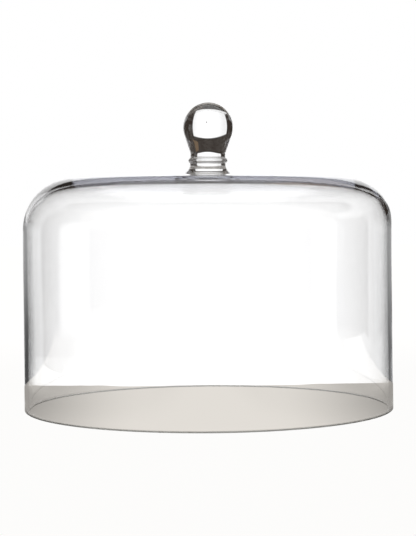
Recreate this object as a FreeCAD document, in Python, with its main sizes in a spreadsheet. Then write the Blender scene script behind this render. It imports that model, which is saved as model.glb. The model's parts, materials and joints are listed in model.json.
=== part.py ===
"""Glass cloche: a wide, straight-sided clear glass dome with a solid ball knob.

Units are millimetres. The origin is the centre of the rim's resting plane and
+Z points up through the knob. The cloche is four gathers of glass, fused hot:
the blown shell, the foot of the stem, a collar (merese) and the ball knob.
Every gather is a solid of revolution about Z.
"""
import FreeCAD, Part
import Sketcher
import math
import os

# Driving dimensions: alias, value, what it is.
SIZES = [
    ("shell_radius", 140.0, "outer radius of the wall"),
    ("rim_wall", 3.1, "wall thickness at the rim"),
    ("mouth_depth", 60.0, "height of the straight part of the bore"),
    ("shoulder_wall", 2.8, "wall thickness where the shoulder begins"),
    ("rim_rounding", 0.9, "rounding of both edges of the ground rim"),
    ("shoulder_radius", 38.0, "outer radius of the shoulder's curve"),
    ("shoulder_height", 136.0, "height at which the outer shoulder begins"),
    ("inner_shoulder_radius", 34.0, "inner radius of the shoulder's curve"),
    ("inner_shoulder_height", 135.4, "height at which the inner shoulder begins"),
    ("ceiling_height", 171.8, "highest point of the inside"),
    ("seat_height", 177.2, "height of the flat seat under the stem"),
    ("seat_radius", 19.0, "radius of the seat and of the stem's foot"),
    ("foot_height", 9.0, "height of the stem's foot"),
    ("foot_top_radius", 13.6, "radius of the joint between foot and collar"),
    ("flare_radius", 9.0, "radius of the foot's concave flare"),
    ("collar_height", 4.2, "height of the collar"),
    ("collar_top_radius", 13.45, "radius of the joint between collar and knob"),
    ("collar_curve_radius", 2.25, "radius of the collar's bulge in section"),
    ("neck_height", 1.8, "height of the narrowest place above the collar"),
    ("neck_curve_radius", 10.5, "radius of the knob's concave neck"),
    ("ball_radius", 19.0, "radius of the ball"),
    ("ball_height", 23.1, "height of the ball's centre above the collar"),
]

SHEET = "Sizes"
START, END, CENTRE = 1, 2, 3
ORIGIN_POINT = (-1, START)
GROUND_LINE = -1
AXIS_LINE = -2
ORIGIN = (0.0, 0.0)


def cell(alias):
    return f"{SHEET}.{alias}"


SEAT = cell("seat_height")
FOOT_TOP = f"{SEAT} + {cell('foot_height')}"
COLLAR_TOP = f"{FOOT_TOP} + {cell('collar_height')}"


def make_sheet(doc):
    """Write the driving dimensions into the sheet, one aliased cell each."""
    sheet = doc.addObject("Spreadsheet::Sheet", SHEET)
    for row, (alias, value, note) in enumerate(SIZES, start=1):
        sheet.set(f"A{row}", note)
        sheet.set(f"B{row}", str(value))
        sheet.setAlias(f"B{row}", alias)
    doc.recompute()
    return sheet


def make_body(doc, name, height=None):
    """A body named name, lifted to a height given by an expression."""
    body = doc.addObject("PartDesign::Body", name)
    body.Label = name
    if height is not None:
        body.setExpression("Placement.Base.z", height)
    return body


class Profile:
    """A half section in the body's XZ plane: x is the radius, y the height."""

    def __init__(self, body, name):
        self.body = body
        self.sketch = body.newObject("Sketcher::SketchObject", name)
        planes = body.Origin.OriginFeatures
        upright = next(p for p in planes if p.Role == "XZ_Plane")
        self.sketch.AttachmentSupport = [(upright, "")]
        self.sketch.MapMode = "FlatFace"

    def line(self, start, end):
        edge = Part.LineSegment(FreeCAD.Vector(*start, 0), FreeCAD.Vector(*end, 0))
        return self.sketch.addGeometry(edge, False)

    def arc(self, centre, radius, first, last):
        """An arc from the angle first, anticlockwise to last, in radians."""
        up = FreeCAD.Vector(0, 0, 1)
        circle = Part.Circle(FreeCAD.Vector(*centre, 0), up, radius)
        return self.sketch.addGeometry(Part.ArcOfCircle(circle, first, last), False)

    def rule(self, kind, *where):
        return self.sketch.addConstraint(Sketcher.Constraint(kind, *where))

    def join(self, *pairs):
        """Each pair of end points coincides."""
        for first, second in pairs:
            self.rule("Coincident", *first, *second)

    def smooth(self, *pairs):
        """Each pair of end points coincides and shares a tangent."""
        for first, second in pairs:
            self.rule("Tangent", *first, *second)

    def drive(self, by, kind, *where, value):
        """A dimension that follows an expression of the sheet's cells."""
        index = self.rule(kind, *where, value)
        self.sketch.setExpression(f"Constraints[{index}]", by)

    def radius(self, curve, value, by):
        self.drive(by, "Radius", curve, value=value)

    def across(self, curve, point, value, by):
        """The distance of a point from the axis."""
        self.drive(by, "DistanceX", *ORIGIN_POINT, curve, point, value=value)

    def above(self, curve, point, value, by):
        """The height of a point above the body's own base."""
        self.drive(by, "DistanceY", *ORIGIN_POINT, curve, point, value=value)

    def revolve(self, name):
        turn = self.body.newObject("PartDesign::Revolution", name)
        turn.Profile = self.sketch
        turn.ReferenceAxis = (self.sketch, ["V_Axis"])
        turn.Angle = 360.0
        return turn


def angle_from(centre, point):
    return math.atan2(point[1] - centre[1], point[0] - centre[0])


def circle_on_axis(point, centre, radius):
    """(height, radius) of the circle centred on the axis that passes through
    point and touches the smaller circle (centre, radius) from around it."""
    px, py = point
    cx, cy = centre
    # With the unknown radius R and centre height k, R^2 = px^2 + (py - k)^2 and
    # (R - radius)^2 = cx^2 + (cy - k)^2, so that R = offset + slope * k.
    offset = (px * px + py * py - cx * cx - cy * cy + radius * radius) / (2 * radius)
    slope = (cy - py) / radius
    square = slope * slope - 1
    linear = 2 * (offset * slope + py)
    constant = offset * offset - px * px - py * py
    k = -(linear + math.sqrt(linear * linear - 4 * square * constant)) / (2 * square)
    return k, offset + slope * k


def centre_beside(low, high, radius, side):
    """Centre of the circle of that radius through both points, which lies
    outwards of them (side 1) or towards the axis (side -1)."""
    half_x = (high[0] - low[0]) / 2
    half_y = (high[1] - low[1]) / 2
    half = math.hypot(half_x, half_y)
    away = side * math.sqrt(radius * radius - half * half) / half
    return low[0] + half_x + away * half_y, low[1] + half_y - away * half_x


def make_shell(doc, sheet):
    """The blown shell: rim, wall, shoulder, low crown and the stem's seat."""
    body = make_body(doc, "dome_shell")
    profile = Profile(body, "ShellSection")
    radius = sheet.shell_radius
    mouth_radius = radius - sheet.rim_wall
    upper_radius = radius - sheet.shoulder_wall

    outer_centre = (radius - sheet.shoulder_radius, sheet.shoulder_height)
    seat_edge = (sheet.seat_radius, sheet.seat_height)
    crown_y, crown_radius = circle_on_axis(seat_edge, outer_centre, sheet.shoulder_radius)
    crown_centre = (0.0, crown_y)
    crown_start = angle_from(crown_centre, outer_centre)
    crown_end = angle_from(crown_centre, seat_edge)

    inner_start = (upper_radius, sheet.inner_shoulder_height)
    inner_radius = sheet.inner_shoulder_radius
    inner_centre = (upper_radius - inner_radius, sheet.inner_shoulder_height)
    ceiling = (0.0, sheet.ceiling_height)
    ceiling_y, ceiling_radius = circle_on_axis(ceiling, inner_centre, inner_radius)
    ceiling_centre = (0.0, ceiling_y)
    ceiling_start = angle_from(ceiling_centre, inner_centre)

    rounding = sheet.rim_rounding
    inner_round_centre = (mouth_radius + rounding, rounding)
    outer_round_centre = (radius - rounding, rounding)

    rim = profile.line((mouth_radius + rounding, 0.0), (radius - rounding, 0.0))
    outer_round = profile.arc(outer_round_centre, rounding, -math.pi / 2, 0.0)
    wall = profile.line((radius, rounding), (radius, sheet.shoulder_height))
    shoulder = profile.arc(outer_centre, sheet.shoulder_radius, 0.0, crown_start)
    crown = profile.arc(crown_centre, crown_radius, crown_start, crown_end)
    seat = profile.line(seat_edge, (0.0, sheet.seat_height))
    middle = profile.line((0.0, sheet.seat_height), ceiling)
    roof = profile.arc(ceiling_centre, ceiling_radius, ceiling_start, math.pi / 2)
    inner_shoulder = profile.arc(inner_centre, inner_radius, 0.0, ceiling_start)
    taper = profile.line(inner_start, (mouth_radius, sheet.mouth_depth))
    mouth = profile.line((mouth_radius, sheet.mouth_depth), (mouth_radius, rounding))
    inner_round = profile.arc(inner_round_centre, rounding, math.pi, 1.5 * math.pi)

    profile.join(
        ((crown, END), (seat, START)),
        ((seat, END), (middle, START)),
        ((middle, END), (roof, END)),
        ((inner_shoulder, START), (taper, START)),
        ((taper, END), (mouth, START)),
    )
    profile.smooth(
        ((rim, END), (outer_round, START)),
        ((outer_round, END), (wall, START)),
        ((mouth, END), (inner_round, START)),
        ((inner_round, END), (rim, START)),
        ((wall, END), (shoulder, START)),
        ((shoulder, END), (crown, START)),
        ((roof, START), (inner_shoulder, END)),
    )
    profile.rule("Horizontal", rim)
    profile.rule("Horizontal", seat)
    profile.rule("Vertical", wall)
    profile.rule("Vertical", mouth)
    profile.rule("Vertical", middle)
    profile.rule("PointOnObject", rim, START, GROUND_LINE)
    profile.rule("PointOnObject", middle, START, AXIS_LINE)
    profile.rule("PointOnObject", crown, CENTRE, AXIS_LINE)
    profile.rule("PointOnObject", roof, CENTRE, AXIS_LINE)

    inner_height = sheet.inner_shoulder_height
    profile.across(wall, START, radius, cell("shell_radius"))
    profile.across(
        mouth, END, mouth_radius, f"{cell('shell_radius')} - {cell('rim_wall')}"
    )
    profile.radius(outer_round, rounding, cell("rim_rounding"))
    profile.radius(inner_round, rounding, cell("rim_rounding"))
    profile.above(wall, END, sheet.shoulder_height, cell("shoulder_height"))
    profile.radius(shoulder, sheet.shoulder_radius, cell("shoulder_radius"))
    profile.across(seat, START, sheet.seat_radius, cell("seat_radius"))
    profile.above(seat, START, sheet.seat_height, cell("seat_height"))
    profile.above(middle, END, sheet.ceiling_height, cell("ceiling_height"))
    profile.radius(inner_shoulder, inner_radius, cell("inner_shoulder_radius"))
    profile.above(inner_shoulder, CENTRE, inner_height, cell("inner_shoulder_height"))
    profile.above(inner_shoulder, START, inner_height, cell("inner_shoulder_height"))
    profile.across(
        inner_shoulder, START, upper_radius,
        f"{cell('shell_radius')} - {cell('shoulder_wall')}",
    )
    profile.above(mouth, START, sheet.mouth_depth, cell("mouth_depth"))
    profile.revolve("ShellRevolution")
    return body


def make_foot(doc, sheet):
    """The stem's foot: one concave flare from the seat up to the collar."""
    body = make_body(doc, "stem_foot", SEAT)
    profile = Profile(body, "FootSection")
    low = (sheet.seat_radius, 0.0)
    high = (sheet.foot_top_radius, sheet.foot_height)
    centre = centre_beside(low, high, sheet.flare_radius, 1)

    base = profile.line(ORIGIN, low)
    flare = profile.arc(
        centre, sheet.flare_radius, angle_from(centre, high), angle_from(centre, low)
    )
    close_column(profile, base, (flare, END), (flare, START), high)
    profile.radius(flare, sheet.flare_radius, cell("flare_radius"))
    profile.across(flare, END, low[0], cell("seat_radius"))
    profile.across(flare, START, high[0], cell("foot_top_radius"))
    profile.above(flare, START, high[1], cell("foot_height"))
    profile.revolve("FootRevolution")
    return body


def make_collar(doc, sheet):
    """The collar, or merese: a rounded ring between the foot and the knob."""
    body = make_body(doc, "collar_ring", FOOT_TOP)
    profile = Profile(body, "CollarSection")
    low = (sheet.foot_top_radius, 0.0)
    high = (sheet.collar_top_radius, sheet.collar_height)
    bulge_radius = sheet.collar_curve_radius
    centre = centre_beside(low, high, bulge_radius, -1)

    base = profile.line(ORIGIN, low)
    bulge = profile.arc(
        centre, bulge_radius, angle_from(centre, low), angle_from(centre, high)
    )
    close_column(profile, base, (bulge, START), (bulge, END), high)
    profile.radius(bulge, bulge_radius, cell("collar_curve_radius"))
    profile.across(bulge, START, low[0], cell("foot_top_radius"))
    profile.across(bulge, END, high[0], cell("collar_top_radius"))
    profile.above(bulge, END, high[1], cell("collar_height"))
    profile.revolve("CollarRevolution")
    return body


def close_column(profile, base, lower_end, upper_end, high):
    """Close a solid column's half section: base, side, flat top and axis."""
    top = profile.line(high, (0.0, high[1]))
    middle = profile.line((0.0, high[1]), ORIGIN)
    profile.join(
        ((base, END), lower_end),
        (upper_end, (top, START)),
        ((top, END), (middle, START)),
        ((middle, END), (base, START)),
        ((base, START), ORIGIN_POINT),
    )
    profile.rule("Horizontal", base)
    profile.rule("Horizontal", top)
    profile.rule("Vertical", middle)


def make_knob(doc, sheet):
    """The ball knob: a concave neck, a straight taper and the solid ball."""
    body = make_body(doc, "ball_knob", COLLAR_TOP)
    profile = Profile(body, "KnobSection")
    base_radius = sheet.collar_top_radius
    neck_radius = sheet.neck_curve_radius
    reach = math.sqrt(neck_radius**2 - sheet.neck_height**2)
    neck_centre = (base_radius + reach, sheet.neck_height)
    ball_centre = (0.0, sheet.ball_height)

    # The taper touches the neck from inside and the ball from outside, so its
    # normal leans by this angle from the radius.
    apart = math.dist(neck_centre, ball_centre)
    between = math.acos((neck_radius + sheet.ball_radius) / apart)
    lean = angle_from(ball_centre, neck_centre) + between
    normal = (math.cos(lean), math.sin(lean))
    taper_low = tuple(c - neck_radius * n for c, n in zip(neck_centre, normal))
    taper_high = tuple(c + sheet.ball_radius * n for c, n in zip(ball_centre, normal))
    summit = (0.0, sheet.ball_height + sheet.ball_radius)
    neck_end = 2 * math.pi + angle_from(neck_centre, (base_radius, 0.0))

    base = profile.line(ORIGIN, (base_radius, 0.0))
    neck = profile.arc(
        neck_centre, neck_radius, angle_from(neck_centre, taper_low), neck_end
    )
    taper = profile.line(taper_low, taper_high)
    ball = profile.arc(ball_centre, sheet.ball_radius, lean, math.pi / 2)
    middle = profile.line(summit, ORIGIN)

    profile.join(
        ((base, END), (neck, END)),
        ((ball, END), (middle, START)),
        ((middle, END), (base, START)),
        ((base, START), ORIGIN_POINT),
    )
    profile.smooth(
        ((neck, START), (taper, START)),
        ((taper, END), (ball, START)),
    )
    profile.rule("Horizontal", base)
    profile.rule("Vertical", middle)
    profile.rule("PointOnObject", ball, CENTRE, AXIS_LINE)
    profile.across(base, END, base_radius, cell("collar_top_radius"))
    profile.radius(neck, neck_radius, cell("neck_curve_radius"))
    profile.above(neck, CENTRE, sheet.neck_height, cell("neck_height"))
    profile.radius(ball, sheet.ball_radius, cell("ball_radius"))
    profile.above(ball, CENTRE, sheet.ball_height, cell("ball_height"))
    profile.revolve("KnobRevolution")
    return body


def check(doc, bodies):
    """Stop if any object failed, or any gather isn't one valid solid."""
    for thing in doc.Objects:
        if "Invalid" in thing.State or "Error" in thing.State:
            raise RuntimeError(f"{thing.Name}: {thing.State}")
    for body in bodies:
        shape = body.Shape
        if shape.isNull() or not shape.isValid() or len(shape.Solids) != 1:
            raise RuntimeError(f"{body.Label}: not one valid solid")


def main():
    doc = FreeCAD.newDocument("glass_cloche")
    sheet = make_sheet(doc)
    bodies = [
        make_shell(doc, sheet),
        make_foot(doc, sheet),
        make_collar(doc, sheet),
        make_knob(doc, sheet),
    ]
    doc.recompute()
    check(doc, bodies)
    os.makedirs("parts", exist_ok=True)
    for body in bodies:
        body.Shape.exportStep(f"parts/{body.Label}.step")
        box = body.Shape.optimalBoundingBox(True, False)
        size = f"radius {box.XMax:.2f}, z {box.ZMin:.2f} to {box.ZMax:.2f}"
        print(f"{body.Label}: {body.Shape.Volume / 1000:.1f} cm3, {size}")


main()
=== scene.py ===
"""The looks of the glass cloche: four gathers of clear glass on a pale table.

Metres, in the frame's own axes: the origin is the centre of the rim's resting
plane, +Z runs up through the knob, and the front view looks along +Y. The
gathers are the blown shell, the foot of the stem, the collar and the ball knob.
"""
import json
import math

import bmesh
import bpy
from mathutils import Matrix, Vector, noise


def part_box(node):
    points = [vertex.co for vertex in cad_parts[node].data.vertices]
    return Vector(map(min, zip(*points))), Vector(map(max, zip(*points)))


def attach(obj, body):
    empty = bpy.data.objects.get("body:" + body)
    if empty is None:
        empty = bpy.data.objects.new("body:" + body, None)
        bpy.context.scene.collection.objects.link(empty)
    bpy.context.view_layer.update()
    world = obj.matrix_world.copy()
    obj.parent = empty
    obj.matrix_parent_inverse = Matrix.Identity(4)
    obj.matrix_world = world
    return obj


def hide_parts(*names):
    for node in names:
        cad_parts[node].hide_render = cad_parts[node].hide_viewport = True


MM = 0.001

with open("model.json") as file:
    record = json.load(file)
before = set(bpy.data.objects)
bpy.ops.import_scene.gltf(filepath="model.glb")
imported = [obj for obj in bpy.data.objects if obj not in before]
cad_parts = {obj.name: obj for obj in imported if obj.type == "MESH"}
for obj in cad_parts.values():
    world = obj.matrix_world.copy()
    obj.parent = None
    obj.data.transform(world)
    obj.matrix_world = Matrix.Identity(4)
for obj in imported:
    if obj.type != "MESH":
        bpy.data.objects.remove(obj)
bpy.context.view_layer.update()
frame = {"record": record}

# ---------------------------------------------------------------- sizes
# Heights and radii of the gathers come from the frame.
SHELL_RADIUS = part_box("dome_shell")[1].x
SEAT_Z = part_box("dome_shell")[1].z
FOOT_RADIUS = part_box("stem_foot")[1].x
FOOT_TOP_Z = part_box("stem_foot")[1].z
COLLAR_TOP_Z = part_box("collar_ring")[1].z
BALL_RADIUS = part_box("ball_knob")[1].x
SUMMIT_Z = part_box("ball_knob")[1].z
BALL_Z = SUMMIT_Z - BALL_RADIUS
MOUTH = next(m for m in frame["record"]["mounts"] if m["name"] == "mouth")
MOUTH_RADIUS = MOUTH["dims"]["r_mm"] * MM

# The rest of the half section, as the glass is drawn in the design.
MOUTH_DEPTH = 60.0 * MM
UPPER_RADIUS = SHELL_RADIUS - 2.8 * MM
RIM_ROUND = 0.9 * MM
SHOULDER_ROUND = 38.0 * MM
SHOULDER_Z = 136.0 * MM
INNER_SHOULDER_ROUND = 34.0 * MM
INNER_SHOULDER_Z = 135.4 * MM
CEILING_Z = 171.8 * MM
FLARE_ROUND = 9.0 * MM
FOOT_TOP_RADIUS = 13.6 * MM
COLLAR_TOP_RADIUS = 13.45 * MM
COLLAR_ROUND = 2.25 * MM
NECK_ROUND = 10.5 * MM
NECK_Z = COLLAR_TOP_Z + 1.8 * MM

# Two gathers share this much glass where they are fused, so that no gap shows.
# Under the foot, which isn't fused, it is the height of the gap.
FUSED_LAP = 0.01 * MM
TURNS = 448
DISC_STEPS = 6

# The crown sagged a little out of level as the glass cooled, and the knob was
# set on it by hand: it stands off the middle and leans a little to +X.
CROWN_RISE = 0.45 * MM
CROWN_TILT = 0.0055
KNOB_OFFSET = 0.4 * MM
KNOB_DROP = 0.2 * MM
KNOB_LEAN = math.radians(0.8)
BUBBLE_RADIUS = 0.4 * MM
BUBBLE_SPOT = Vector((-0.8 * MM, 0, BALL_Z + 2.6 * MM))
# The right side of the wall leans in towards its top, under a full shoulder.
SIDE_LEAN = 1.1 * MM
SIDE_BULGE = 0.9 * MM

# ---------------------------------------------------------------- sections


def on_circle(centre, radius, angle):
    return centre[0] + radius * math.cos(angle), centre[1] + radius * math.sin(angle)


def arc(centre, radius, first, last, steps):
    """Points along an arc in the half section, both ends included."""
    turn = (last - first) / steps
    return [on_circle(centre, radius, first + turn * i) for i in range(steps + 1)]


def straight(start, end, steps):
    """Points along a line, both ends included."""
    return [
        (
            start[0] + (end[0] - start[0]) * i / steps,
            start[1] + (end[1] - start[1]) * i / steps,
        )
        for i in range(steps + 1)
    ]


def angle_from(centre, point):
    return math.atan2(point[1] - centre[1], point[0] - centre[0])


def circle_on_axis(point, centre, radius):
    """(height, radius) of the circle centred on the axis that passes through
    point and touches the smaller circle (centre, radius) from around it."""
    px, py = point
    cx, cy = centre
    offset = (px * px + py * py - cx * cx - cy * cy + radius * radius) / (2 * radius)
    slope = (cy - py) / radius
    square = slope * slope - 1
    linear = 2 * (offset * slope + py)
    constant = offset * offset - px * px - py * py
    height = -(linear + math.sqrt(linear * linear - 4 * square * constant))
    height /= 2 * square
    return height, offset + slope * height


def centre_beside(low, high, radius, side):
    """Centre of the circle of that radius through both points: outwards of
    them for side 1, towards the axis for side -1."""
    half_x = (high[0] - low[0]) / 2
    half_z = (high[1] - low[1]) / 2
    half = math.hypot(half_x, half_z)
    away = side * math.sqrt(radius * radius - half * half) / half
    return low[0] + half_x + away * half_z, low[1] + half_z - away * half_x


def shoulder_and_crown(centre, radius, end):
    """The shoulder's arc from the wall, then the crown's arc in to end."""
    height, crown_radius = circle_on_axis(end, centre, radius)
    crown_centre = (0.0, height)
    turn = angle_from(crown_centre, centre)
    last = angle_from(crown_centre, end)
    shoulder = arc(centre, radius, 0.0, turn, 44)
    return shoulder + arc(crown_centre, crown_radius, turn, last, 48)[1:]


def shell_section():
    """The shell, from the rim up the outside, over the seat and back inside."""
    outer_rim = (SHELL_RADIUS - RIM_ROUND, RIM_ROUND)
    inner_rim = (MOUTH_RADIUS + RIM_ROUND, RIM_ROUND)
    outer_shoulder = (SHELL_RADIUS - SHOULDER_ROUND, SHOULDER_Z)
    inner_shoulder = (UPPER_RADIUS - INNER_SHOULDER_ROUND, INNER_SHOULDER_Z)
    seat_edge = (FOOT_RADIUS, SEAT_Z)
    seat_low = SEAT_Z - FUSED_LAP

    outside = arc(outer_rim, RIM_ROUND, -math.pi / 2, 0.0, 10)
    outside += straight(outside[-1], (SHELL_RADIUS, SHOULDER_Z), 30)[1:]
    outside += shoulder_and_crown(outer_shoulder, SHOULDER_ROUND, seat_edge)[1:]
    seat = straight((FOOT_RADIUS - FUSED_LAP, seat_low), (0.0, seat_low), DISC_STEPS)

    inside = shoulder_and_crown(
        inner_shoulder, INNER_SHOULDER_ROUND, (0.0, CEILING_Z)
    )[::-1]
    inside += straight(inside[-1], (MOUTH_RADIUS, MOUTH_DEPTH), 16)[1:]
    inside += straight(inside[-1], (MOUTH_RADIUS, RIM_ROUND), 14)[1:]
    inside += arc(inner_rim, RIM_ROUND, math.pi, 1.5 * math.pi, 10)[1:]
    foot = straight(inside[-1], outside[0], 2)[1:-1]
    return outside + seat + inside + foot


def foot_section():
    """The stem's foot: a flare from the seat in to the collar. Its underside
    isn't fused: a hairline gap over the seat lets the crown's band run on."""
    low = (FOOT_RADIUS, SEAT_Z)
    high = (FOOT_TOP_RADIUS, FOOT_TOP_Z)
    centre = centre_beside(low, high, FLARE_ROUND, 1)
    first = angle_from(centre, low) % (2 * math.pi)
    last = angle_from(centre, high) % (2 * math.pi)
    outline, fused = column(arc(centre, FLARE_ROUND, first, last, 28))
    return outline, {step for step in fused if step < len(outline) - DISC_STEPS}


def collar_section():
    """The collar: one rounded bulge."""
    low = (FOOT_TOP_RADIUS, FOOT_TOP_Z)
    high = (COLLAR_TOP_RADIUS, COLLAR_TOP_Z)
    centre = centre_beside(low, high, COLLAR_ROUND, -1)
    first = angle_from(centre, low)
    return column(arc(centre, COLLAR_ROUND, first, angle_from(centre, high), 24))


def knob_section():
    """The knob: a concave neck, a straight taper and the ball."""
    reach = math.sqrt(NECK_ROUND**2 - (NECK_Z - COLLAR_TOP_Z) ** 2)
    neck_centre = (COLLAR_TOP_RADIUS + reach, NECK_Z)
    ball_centre = (0.0, BALL_Z)
    apart = math.dist(neck_centre, ball_centre)
    between = math.acos((NECK_ROUND + BALL_RADIUS) / apart)
    lean = angle_from(ball_centre, neck_centre) + between
    first = angle_from(neck_centre, (COLLAR_TOP_RADIUS, COLLAR_TOP_Z))
    neck = arc(neck_centre, NECK_ROUND, first % (2 * math.pi), lean + math.pi, 20)
    ball = arc(ball_centre, BALL_RADIUS, lean, math.pi / 2, 72)
    taper = straight(neck[-1], ball[0], 12)
    return closed_below(neck + taper[1:-1] + ball)


def column(side):
    """A side from bottom to top, closed with a flat disc at each end."""
    top = side[-1][1] + FUSED_LAP
    cap = straight((side[-1][0] - FUSED_LAP, top), (0.0, top), DISC_STEPS)
    outline, fused = closed_below(side + cap)
    first = len(side) - 1
    return outline, fused | set(range(first, first + len(cap)))


def closed_below(side):
    """A side from bottom to top, with a flat disc under its lowest point."""
    disc = straight((0.0, side[0][1]), side[0], DISC_STEPS)[:-1]
    first = len(side)
    return side + disc, set(range(first, first + len(disc)))


# ---------------------------------------------------------------- meshes


def lathe(name, outline, fused, shape):
    """A closed solid of revolution. The outline runs up the outside; fused
    holds the numbers of its steps that lie in a joint between two gathers.
    shape moves a point to where the hand-made glass has it."""
    mesh = bpy.data.meshes.new(name)
    form = bmesh.new()
    flag = form.faces.layers.float.new("fused")
    rings = [ring(form, point, shape) for point in outline]
    for step, low in enumerate(rings):
        high = rings[(step + 1) % len(rings)]
        if len(low) == 1 and len(high) == 1:
            continue
        for turn in range(TURNS):
            corners = [low[turn % len(low)], low[(turn + 1) % len(low)]]
            corners += [high[(turn + 1) % len(high)], high[turn % len(high)]]
            face = form.faces.new(list(dict.fromkeys(corners)))
            face.smooth = True
            face[flag] = 1.0 if step in fused else 0.0
    bmesh.ops.recalc_face_normals(form, faces=form.faces)
    form.to_mesh(mesh)
    form.free()
    piece = bpy.data.objects.new(name, mesh)
    bpy.context.scene.collection.objects.link(piece)
    return piece


def ring(form, point, shape):
    """One turn of vertices, or a single one on the axis."""
    radius, height = point
    if radius < 1e-9:
        spots = [Vector((0, 0, height))]
    else:
        step = 2 * math.pi / TURNS
        spots = [
            Vector((radius * math.cos(step * i), radius * math.sin(step * i), height))
            for i in range(TURNS)
        ]
    return [form.verts.new(shape(spot)) for spot in spots]


def share_of(value, start, end):
    """0 up to start, 1 from end on, and smooth between them."""
    part = max(0.0, min((value - start) / (end - start), 1.0))
    return part * part * (3 - 2 * part)


def settled(spot):
    """Where a point of the even design stands in the hand-made glass."""
    upper = share_of(spot.z, 0.6 * SEAT_Z, 0.95 * SEAT_Z)
    knob = share_of(spot.z, SEAT_Z, COLLAR_TOP_Z)
    rise = max(spot.z - SEAT_Z, 0.0)
    across = upper * KNOB_OFFSET + math.sin(KNOB_LEAN * knob) * rise
    lift = upper * (CROWN_RISE - CROWN_TILT * spot.x) - knob * KNOB_DROP
    return spot + Vector((across, 0, lift - knob * CROWN_RISE))


WAVE_SIZE = 62.0 * MM
WAVE_DEPTH = 0.16 * MM


def wavy(spot):
    """The slow waves of a wall that was blown and turned by hand: the shell
    swells and shrinks by a fraction of a millimetre, inside and out alike."""
    radius = math.hypot(spot.x, spot.y)
    if radius < FOOT_RADIUS:
        return settled(spot)
    where = Vector((spot.x, spot.y, spot.z * 0.6)) / WAVE_SIZE
    swell = noise.noise(where) + 0.4 * noise.noise(where * 2.3 + Vector((7, 3, 1)))
    fade = min((radius - FOOT_RADIUS) / (60 * MM), 1.0)
    keep = 1.0 - swell * WAVE_DEPTH * fade / radius
    bulge = share_of(spot.z, SHOULDER_Z, 1.16 * SHOULDER_Z)
    lean = min(spot.z / SHOULDER_Z, 1.0) * SIDE_LEAN * (1 - bulge)
    side = share_of(spot.x, 0.0, SHELL_RADIUS) * (SIDE_BULGE * bulge - lean)
    moved = Vector((spot.x * keep + side, spot.y * keep, spot.z))
    return settled(moved)


def make_shell():
    return lathe("dome_shell_glass", shell_section(), set(), wavy)


def make_knob():
    """The knob, with the pinhead air bubble that is caught in its ball."""
    outline, fused = knob_section()
    knob = lathe("ball_knob_glass", outline, fused, settled)
    form = bmesh.new()
    form.from_mesh(knob.data)
    spot = Matrix.Translation(settled(BUBBLE_SPOT))
    made = bmesh.ops.create_icosphere(
        form, subdivisions=2, radius=BUBBLE_RADIUS, matrix=spot
    )
    faces = {face for vert in made["verts"] for face in vert.link_faces}
    for face in faces:
        face.smooth = True
    bmesh.ops.reverse_faces(form, faces=list(faces))
    form.to_mesh(knob.data)
    form.free()
    return knob


def make_gathers():
    """{CAD node: the glass that stands for it}"""
    return {
        "dome_shell": make_shell(),
        "stem_foot": lathe("stem_foot_glass", *foot_section(), settled),
        "collar_ring": lathe("collar_ring_glass", *collar_section(), settled),
        "ball_knob": make_knob(),
    }


# ---------------------------------------------------------------- materials

GLASS_IOR = 1.52

# The ground resting edge: matt, and grey with painted shade.
GROUND_AND_SHADE_HEIGHT = 1.5 * MM
GROUND_ROUGHNESS = 0.6
RIM_PAINTED_SHADE = (0.42, 0.42, 0.40)


def nodes_of(name):
    """A new node material: (material, its nodes, its links, its output)."""
    material = bpy.data.materials.new(name)
    material.use_nodes = True
    tree = material.node_tree
    output = next(n for n in tree.nodes if n.type == "OUTPUT_MATERIAL")
    return material, tree.nodes, tree.links, output


def glass(name, colour, density, ripple, ripple_scale):
    """Clear glass. It is tinted by its depth, and its skin has a faint ripple."""
    material, nodes, links, output = nodes_of(name)
    shader = nodes["Principled BSDF"]
    shader.inputs["Base Color"].default_value = (1, 1, 1, 1)
    shader.inputs["Transmission Weight"].default_value = 1.0
    shader.inputs["Roughness"].default_value = 0.0
    shader.inputs["IOR"].default_value = GLASS_IOR

    place = nodes.new("ShaderNodeTexCoord")
    waves = nodes.new("ShaderNodeTexNoise")
    waves.inputs["Scale"].default_value = ripple_scale
    waves.inputs["Detail"].default_value = 1.0
    bump = nodes.new("ShaderNodeBump")
    bump.inputs["Strength"].default_value = 1.0
    bump.inputs["Distance"].default_value = ripple
    links.new(place.outputs["Object"], waves.inputs["Vector"])
    links.new(waves.outputs["Fac"], bump.inputs["Height"])
    links.new(bump.outputs["Normal"], shader.inputs["Normal"])

    depth = nodes.new("ShaderNodeVolumeAbsorption")
    depth.inputs["Color"].default_value = (*colour, 1)
    depth.inputs["Density"].default_value = density
    links.new(depth.outputs["Volume"], output.inputs["Volume"])
    return material


def fuse(material):
    """Let the faces flagged fused bend no light, because the glass goes on
    there in the next gather."""
    nodes = material.node_tree.nodes
    links = material.node_tree.links
    fused = nodes.new("ShaderNodeAttribute")
    fused.attribute_name = "fused"
    bend = nodes.new("ShaderNodeMapRange")
    bend.inputs["To Min"].default_value = GLASS_IOR
    bend.inputs["To Max"].default_value = 1.0
    links.new(fused.outputs["Fac"], bend.inputs["Value"])
    links.new(bend.outputs["Result"], nodes["Principled BSDF"].inputs["IOR"])


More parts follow.
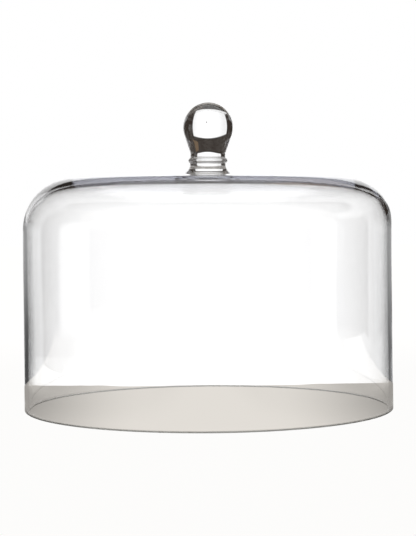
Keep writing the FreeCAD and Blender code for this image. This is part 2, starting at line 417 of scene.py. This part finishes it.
def grind_and_paint_rim_shade(material):
    """Make the resting edge matt, as grinding leaves it, and grey: painted shade
    along the line where the glass stands.
    """
    nodes = material.node_tree.nodes
    links = material.node_tree.links
    shader = nodes["Principled BSDF"]
    place = nodes.new("ShaderNodeTexCoord")
    skin = nodes.new("ShaderNodeMapRange")
    skin.inputs["From Min"].default_value = RIM_ROUND
    skin.inputs["From Max"].default_value = GROUND_AND_SHADE_HEIGHT
    height = nodes.new("ShaderNodeSeparateXYZ")
    matt = nodes.new("ShaderNodeMapRange")
    matt.inputs["To Min"].default_value = GROUND_ROUGHNESS
    matt.inputs["To Max"].default_value = 0.0
    # painted shade: the resting edge turns grey
    grey = nodes.new("ShaderNodeMix")
    grey.data_type = "RGBA"
    grey.inputs["A"].default_value = (*RIM_PAINTED_SHADE, 1)
    grey.inputs["B"].default_value = (1, 1, 1, 1)
    links.new(place.outputs["Object"], height.inputs["Vector"])
    links.new(height.outputs["Z"], skin.inputs["Value"])
    links.new(skin.outputs["Result"], matt.inputs["Value"])
    links.new(skin.outputs["Result"], grey.inputs["Factor"])
    links.new(matt.outputs["Result"], shader.inputs["Roughness"])
    links.new(grey.outputs["Result"], shader.inputs["Base Color"])


def glow(name, colour):
    """An even light of its own, for the table and the studio's panels. What
    dim() adds makes its strength change from place to place."""
    material, nodes, links, output = nodes_of(name)
    nodes.remove(nodes["Principled BSDF"])
    light = nodes.new("ShaderNodeEmission")
    light.inputs["Color"].default_value = (*colour, 1)
    links.new(light.outputs["Emission"], output.inputs["Surface"])
    place = nodes.new("ShaderNodeTexCoord")
    apart = nodes.new("ShaderNodeSeparateXYZ")
    links.new(place.outputs["Object"], apart.inputs["Vector"])
    return material, apart


def dim(material, apart, axis, start, end, value, mirrored=False):
    """Multiply a panel's strength: 1 up to start, then value from end on, in
    metres along its own axis, or to both sides of its middle if mirrored."""
    nodes = material.node_tree.nodes
    links = material.node_tree.links
    light = next(n for n in nodes if n.type == "EMISSION")
    along = apart.outputs[axis]
    if mirrored:
        size = nodes.new("ShaderNodeMath")
        size.operation = "ABSOLUTE"
        links.new(along, size.inputs[0])
        along = size.outputs["Value"]
    fade = nodes.new("ShaderNodeMapRange")
    fade.interpolation_type = "SMOOTHSTEP"
    fade.inputs["From Min"].default_value = start
    fade.inputs["From Max"].default_value = end
    fade.inputs["To Min"].default_value = 1.0
    fade.inputs["To Max"].default_value = value
    links.new(along, fade.inputs["Value"])
    times = nodes.new("ShaderNodeMath")
    times.operation = "MULTIPLY"
    strength = light.inputs["Strength"]
    if strength.is_linked:
        links.new(strength.links[0].from_socket, times.inputs[1])
    else:
        times.inputs[1].default_value = strength.default_value
    links.new(fade.outputs["Result"], times.inputs[0])
    links.new(times.outputs["Value"], strength)


# ---------------------------------------------------------------- studio

CAMERA_DISTANCE = 8.211 * SHELL_RADIUS
CAMERA_HEIGHT = 1.0514 * SHELL_RADIUS
CAMERA_PITCH = math.radians(2.033)
CAMERA_ROLL = math.radians(0.45)
CAMERA_LENS = 101.28

BOUNCES = 256
ROOM_DARK = (0.04, 0.032, 0.027, 1)
ROOM_LIGHT = (1.1, 1.1, 1.1, 1)

# The backdrop's edges, as angles seen from the ball, and how soft they are.
BACKDROP_Y = 0.65
BACKDROP_LEFT = math.radians(37.5)
BACKDROP_RIGHT = math.radians(28)
BACKDROP_LOW = math.radians(33.5)
BACKDROP_HIGH = math.radians(20)
BACKDROP_SOFT = 0.03
WALL_LOW = math.radians(28.5)
WALL_BROWN = (0.16, 0.105, 0.06)

TABLE_BACK = 1.13 * SHELL_RADIUS
TABLE_Z = -0.5 * MM
TABLE_BEIGE = (0.77, 0.735, 0.685)
FLOOR_Z = -1.0 * MM
FLOOR_PALE = (1.0, 0.995, 0.985)

SHADE_CARD_Y = 0.155
SHADE_CARD_TOP = 0.16
SHADE_CARD_NEAR = 0.168
SHADE_CARD_FAR = 0.45
SHADE_CARD_FEATHER = 1.13
OVERHEAD_Z = SUMMIT_Z + 0.42


def make_camera():
    """The front view: a long lens, low, a little below the crown's height."""
    data = bpy.data.cameras.new("camera")
    data.sensor_fit = "VERTICAL"
    data.sensor_height = 36.0
    data.lens = CAMERA_LENS
    camera = bpy.data.objects.new("camera", data)
    bpy.context.scene.collection.objects.link(camera)
    aim = Matrix.Rotation(math.pi / 2 - CAMERA_PITCH, 4, "X")
    place = Matrix.Translation((0, -CAMERA_DISTANCE, CAMERA_HEIGHT))
    camera.matrix_world = place @ aim @ Matrix.Rotation(-CAMERA_ROLL, 4, "Z")
    bpy.context.scene.camera = camera
    return camera


def panel(name, corners, material):
    """A flat part of the set. The camera sees none but the floor: it sees the
    others only through the glass."""
    mesh = bpy.data.meshes.new(name)
    mesh.from_pydata(corners, [], [tuple(range(len(corners)))])
    mesh.materials.append(material)
    thing = bpy.data.objects.new(name, mesh)
    bpy.context.scene.collection.objects.link(thing)
    thing.visible_camera = False
    return thing


def upright(left, right, low, high, y):
    return [(left, y, low), (right, y, low), (right, y, high), (left, y, high)]


def level(left, right, front, back, z):
    return [(left, front, z), (right, front, z), (right, back, z), (left, back, z)]


def make_studio():
    make_backdrop()
    make_wall()
    make_table()
    make_painted_sheen_panel()
    make_floor()
    make_shade_card("shade_card_left", -SHADE_CARD_NEAR, -SHADE_CARD_FAR, (0.07, 0.3))
    make_shade_card("shade_card_right", SHADE_CARD_NEAR, SHADE_CARD_FAR, (0.14, 0.3))
    make_overhead()


def set_strength(material, value):
    light = next(n for n in material.node_tree.nodes if n.type == "EMISSION")
    light.inputs["Strength"].default_value = value


def make_backdrop():
    """The white backdrop: wide, with soft edges, and dimmer to its sides."""
    left = -BACKDROP_Y * math.tan(BACKDROP_LEFT)
    right = BACKDROP_Y * math.tan(BACKDROP_RIGHT)
    low = BALL_Z - BACKDROP_Y * math.tan(BACKDROP_LOW)
    high = BALL_Z + BACKDROP_Y * math.tan(BACKDROP_HIGH)
    soft = BACKDROP_SOFT
    white, apart = glow("backdrop_white", (1, 1, 1))
    set_strength(white, 1.25)
    dim(white, apart, "X", 0.05, 0.38, 0.8, mirrored=True)
    dim(white, apart, "X", left + soft, left, 0)
    dim(white, apart, "X", right - soft, right, 0)
    dim(white, apart, "Z", low + soft, low, 0)
    dim(white, apart, "Z", high - soft, high, 0)
    panel("backdrop", upright(left, right, low, high, BACKDROP_Y), white)


def make_wall():
    """The room's brown wall, over the right end of the backdrop."""
    brown, apart = glow("wall_brown", WALL_BROWN)
    low = BALL_Z + BACKDROP_Y * math.tan(WALL_LOW)
    panel("wall", upright(0.17, 0.45, low, 0.9, BACKDROP_Y), brown)


def make_table():
    """The table under the glass, which is seen only through it. Its glow is
    dimmed into a painted shadow towards and just past the glass's wall,
    brightened into painted light further out, and given a painted sheen.
    """
    beige, apart = glow("table_beige", TABLE_BEIGE)
    set_strength(beige, 1.0)
    # painted shadow of the glass: the table darkens towards its wall and just past it
    dim(beige, apart, "X", 0.05, 0.165, 0.45, mirrored=True)
    # painted light: further out to the sides the table glows brighter
    dim(beige, apart, "X", 0.2, 0.3, 1.9, mirrored=True)
    # painted sheen: the table is dimmer where it is looked down on steeply
    painted_sheen(beige, 0.62, 0.8, 0.6)
    panel("table", level(-0.9, 0.9, -1.0, TABLE_BACK, TABLE_Z), beige)


def make_painted_sheen_panel():
    """A painted sheen at the back end of the table, behind the glass and to its
    left: a bright white patch that fades out where it is looked down on steeply.
    """
    white, apart = glow("sheen_panel_white", (1, 1, 1))
    set_strength(white, 1.2)
    # painted sheen: the patch fades out where it is looked down on steeply
    painted_sheen(white, 0.50, 0.56, 0)
    panel("sheen_panel", level(-0.34, 0.06, TABLE_BACK, 0.42, TABLE_Z), white)


def make_floor():
    """The pale floor that the camera sees. It glows a little brighter towards
    the back: painted light.
    """
    pale, apart = glow("floor_pale", FLOOR_PALE)
    set_strength(pale, 0.98)
    # painted light: a little brighter towards the back
    dim(pale, apart, "Y", 0.2, 0.7, 1.03)
    floor = panel("floor", level(-6, 6, -6, 6, FLOOR_Z), pale)
    floor.visible_camera = True
    floor.visible_transmission = False
    floor.visible_glossy = False


def make_shade_card(name, near, far, strengths):
    """A dark card of painted shade close behind the glass, which draws the dark
    line that shows its edge. Its painted shade is darkest at the table, and its
    near edge is feathered."""
    low, high = strengths
    grey, apart = glow(name, (1, 1, 1))
    set_strength(grey, low)
    # painted shade: the card is darkest at the table
    dim(grey, apart, "Z", 0.02, 0.13, high / low)
    feather(grey, apart, near, near * SHADE_CARD_FEATHER)
    panel(name, upright(near, far, 0, SHADE_CARD_TOP, SHADE_CARD_Y), grey)


def feather(material, apart, start, end):
    """Let a shade card be clear at start and full from end on, along its X."""
    nodes = material.node_tree.nodes
    links = material.node_tree.links
    output = next(n for n in nodes if n.type == "OUTPUT_MATERIAL")
    light = next(n for n in nodes if n.type == "EMISSION")
    fade = nodes.new("ShaderNodeMapRange")
    fade.inputs["From Min"].default_value = start
    fade.inputs["From Max"].default_value = end
    clear = nodes.new("ShaderNodeBsdfTransparent")
    either = nodes.new("ShaderNodeMixShader")
    links.new(apart.outputs["X"], fade.inputs["Value"])
    links.new(fade.outputs["Result"], either.inputs["Fac"])
    links.new(clear.outputs["BSDF"], either.inputs[1])
    links.new(light.outputs["Emission"], either.inputs[2])
    links.new(either.outputs["Shader"], output.inputs["Surface"])


def make_overhead():
    """A soft light over the object."""
    white, apart = glow("overhead_white", (1, 1, 1))
    set_strength(white, 0.9)
    panel("overhead", level(-0.35, 0.35, -0.3, 0.3, OVERHEAD_Z), white)


def painted_sheen(material, start, end, value):
    """Dim a level panel's glow where it is looked down on steeply, a painted
    sheen like satin's: not at all up to the sine start of the angle, and to
    value from end on."""
    slant = material.node_tree.nodes.new("ShaderNodeLayerWeight")
    slant.inputs["Blend"].default_value = 0.5
    dim(material, slant, "Facing", 1 - start, 1 - end, value)


def make_world():
    """A white room for the camera. Around the glass it is a dark one, with
    light from its left end."""
    world = bpy.data.worlds.new("studio")
    bpy.context.scene.world = world
    world.use_nodes = True
    nodes = world.node_tree.nodes
    links = world.node_tree.links
    dark = nodes["Background"]
    place = nodes.new("ShaderNodeTexCoord")
    apart = nodes.new("ShaderNodeSeparateXYZ")
    side = nodes.new("ShaderNodeMapRange")
    side.interpolation_type = "SMOOTHSTEP"
    side.inputs["From Min"].default_value = -0.965
    side.inputs["From Max"].default_value = -0.985
    room = nodes.new("ShaderNodeMix")
    room.data_type = "RGBA"
    room.inputs["A"].default_value = ROOM_DARK
    room.inputs["B"].default_value = ROOM_LIGHT
    links.new(place.outputs["Generated"], apart.inputs["Vector"])
    links.new(apart.outputs["X"], side.inputs["Value"])
    links.new(side.outputs["Result"], room.inputs["Factor"])
    links.new(room.outputs["Result"], dark.inputs["Color"])
    white = nodes.new("ShaderNodeBackground")
    white.inputs["Color"].default_value = (1, 1, 1, 1)
    seen = nodes.new("ShaderNodeLightPath")
    either = nodes.new("ShaderNodeMixShader")
    output = next(n for n in nodes if n.type == "OUTPUT_WORLD")
    links.new(seen.outputs["Is Camera Ray"], either.inputs["Fac"])
    links.new(dark.outputs["Background"], either.inputs[1])
    links.new(white.outputs["Background"], either.inputs[2])
    links.new(either.outputs["Shader"], output.inputs["Surface"])


def set_light_paths():
    """Enough bounces for light to run along inside the wall, and true whites."""
    scene = bpy.context.scene
    scene.view_settings.view_transform = "Standard"
    scene.cycles.max_bounces = BOUNCES
    scene.cycles.transmission_bounces = BOUNCES
    scene.cycles.glossy_bounces = BOUNCES
    scene.cycles.use_denoising = True


# ---------------------------------------------------------------- assembly

SLOTS = {
    "dome_shell": "blown_glass",
    "stem_foot": "solid_glass",
    "collar_ring": "solid_glass",
    "ball_knob": "solid_glass",
}
TINT = (0.55, 0.56, 0.62)
BLOWN_DENSITY = 7.5
SOLID_DENSITY = 2.0
BLOWN_RIPPLE = 0.02 * MM
SOLID_RIPPLE = 0.01 * MM

camera = make_camera()
make_studio()
make_world()
set_light_paths()

finishes = {
    "blown_glass": glass("blown_glass", TINT, BLOWN_DENSITY, BLOWN_RIPPLE, 40.0),
    "solid_glass": glass("solid_glass", TINT, SOLID_DENSITY, SOLID_RIPPLE, 60.0),
}
grind_and_paint_rim_shade(finishes["blown_glass"])
fuse(finishes["solid_glass"])
for node, piece in make_gathers().items():
    piece.data.materials.append(finishes[SLOTS[node]])
    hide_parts(node)
    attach(piece, "root")
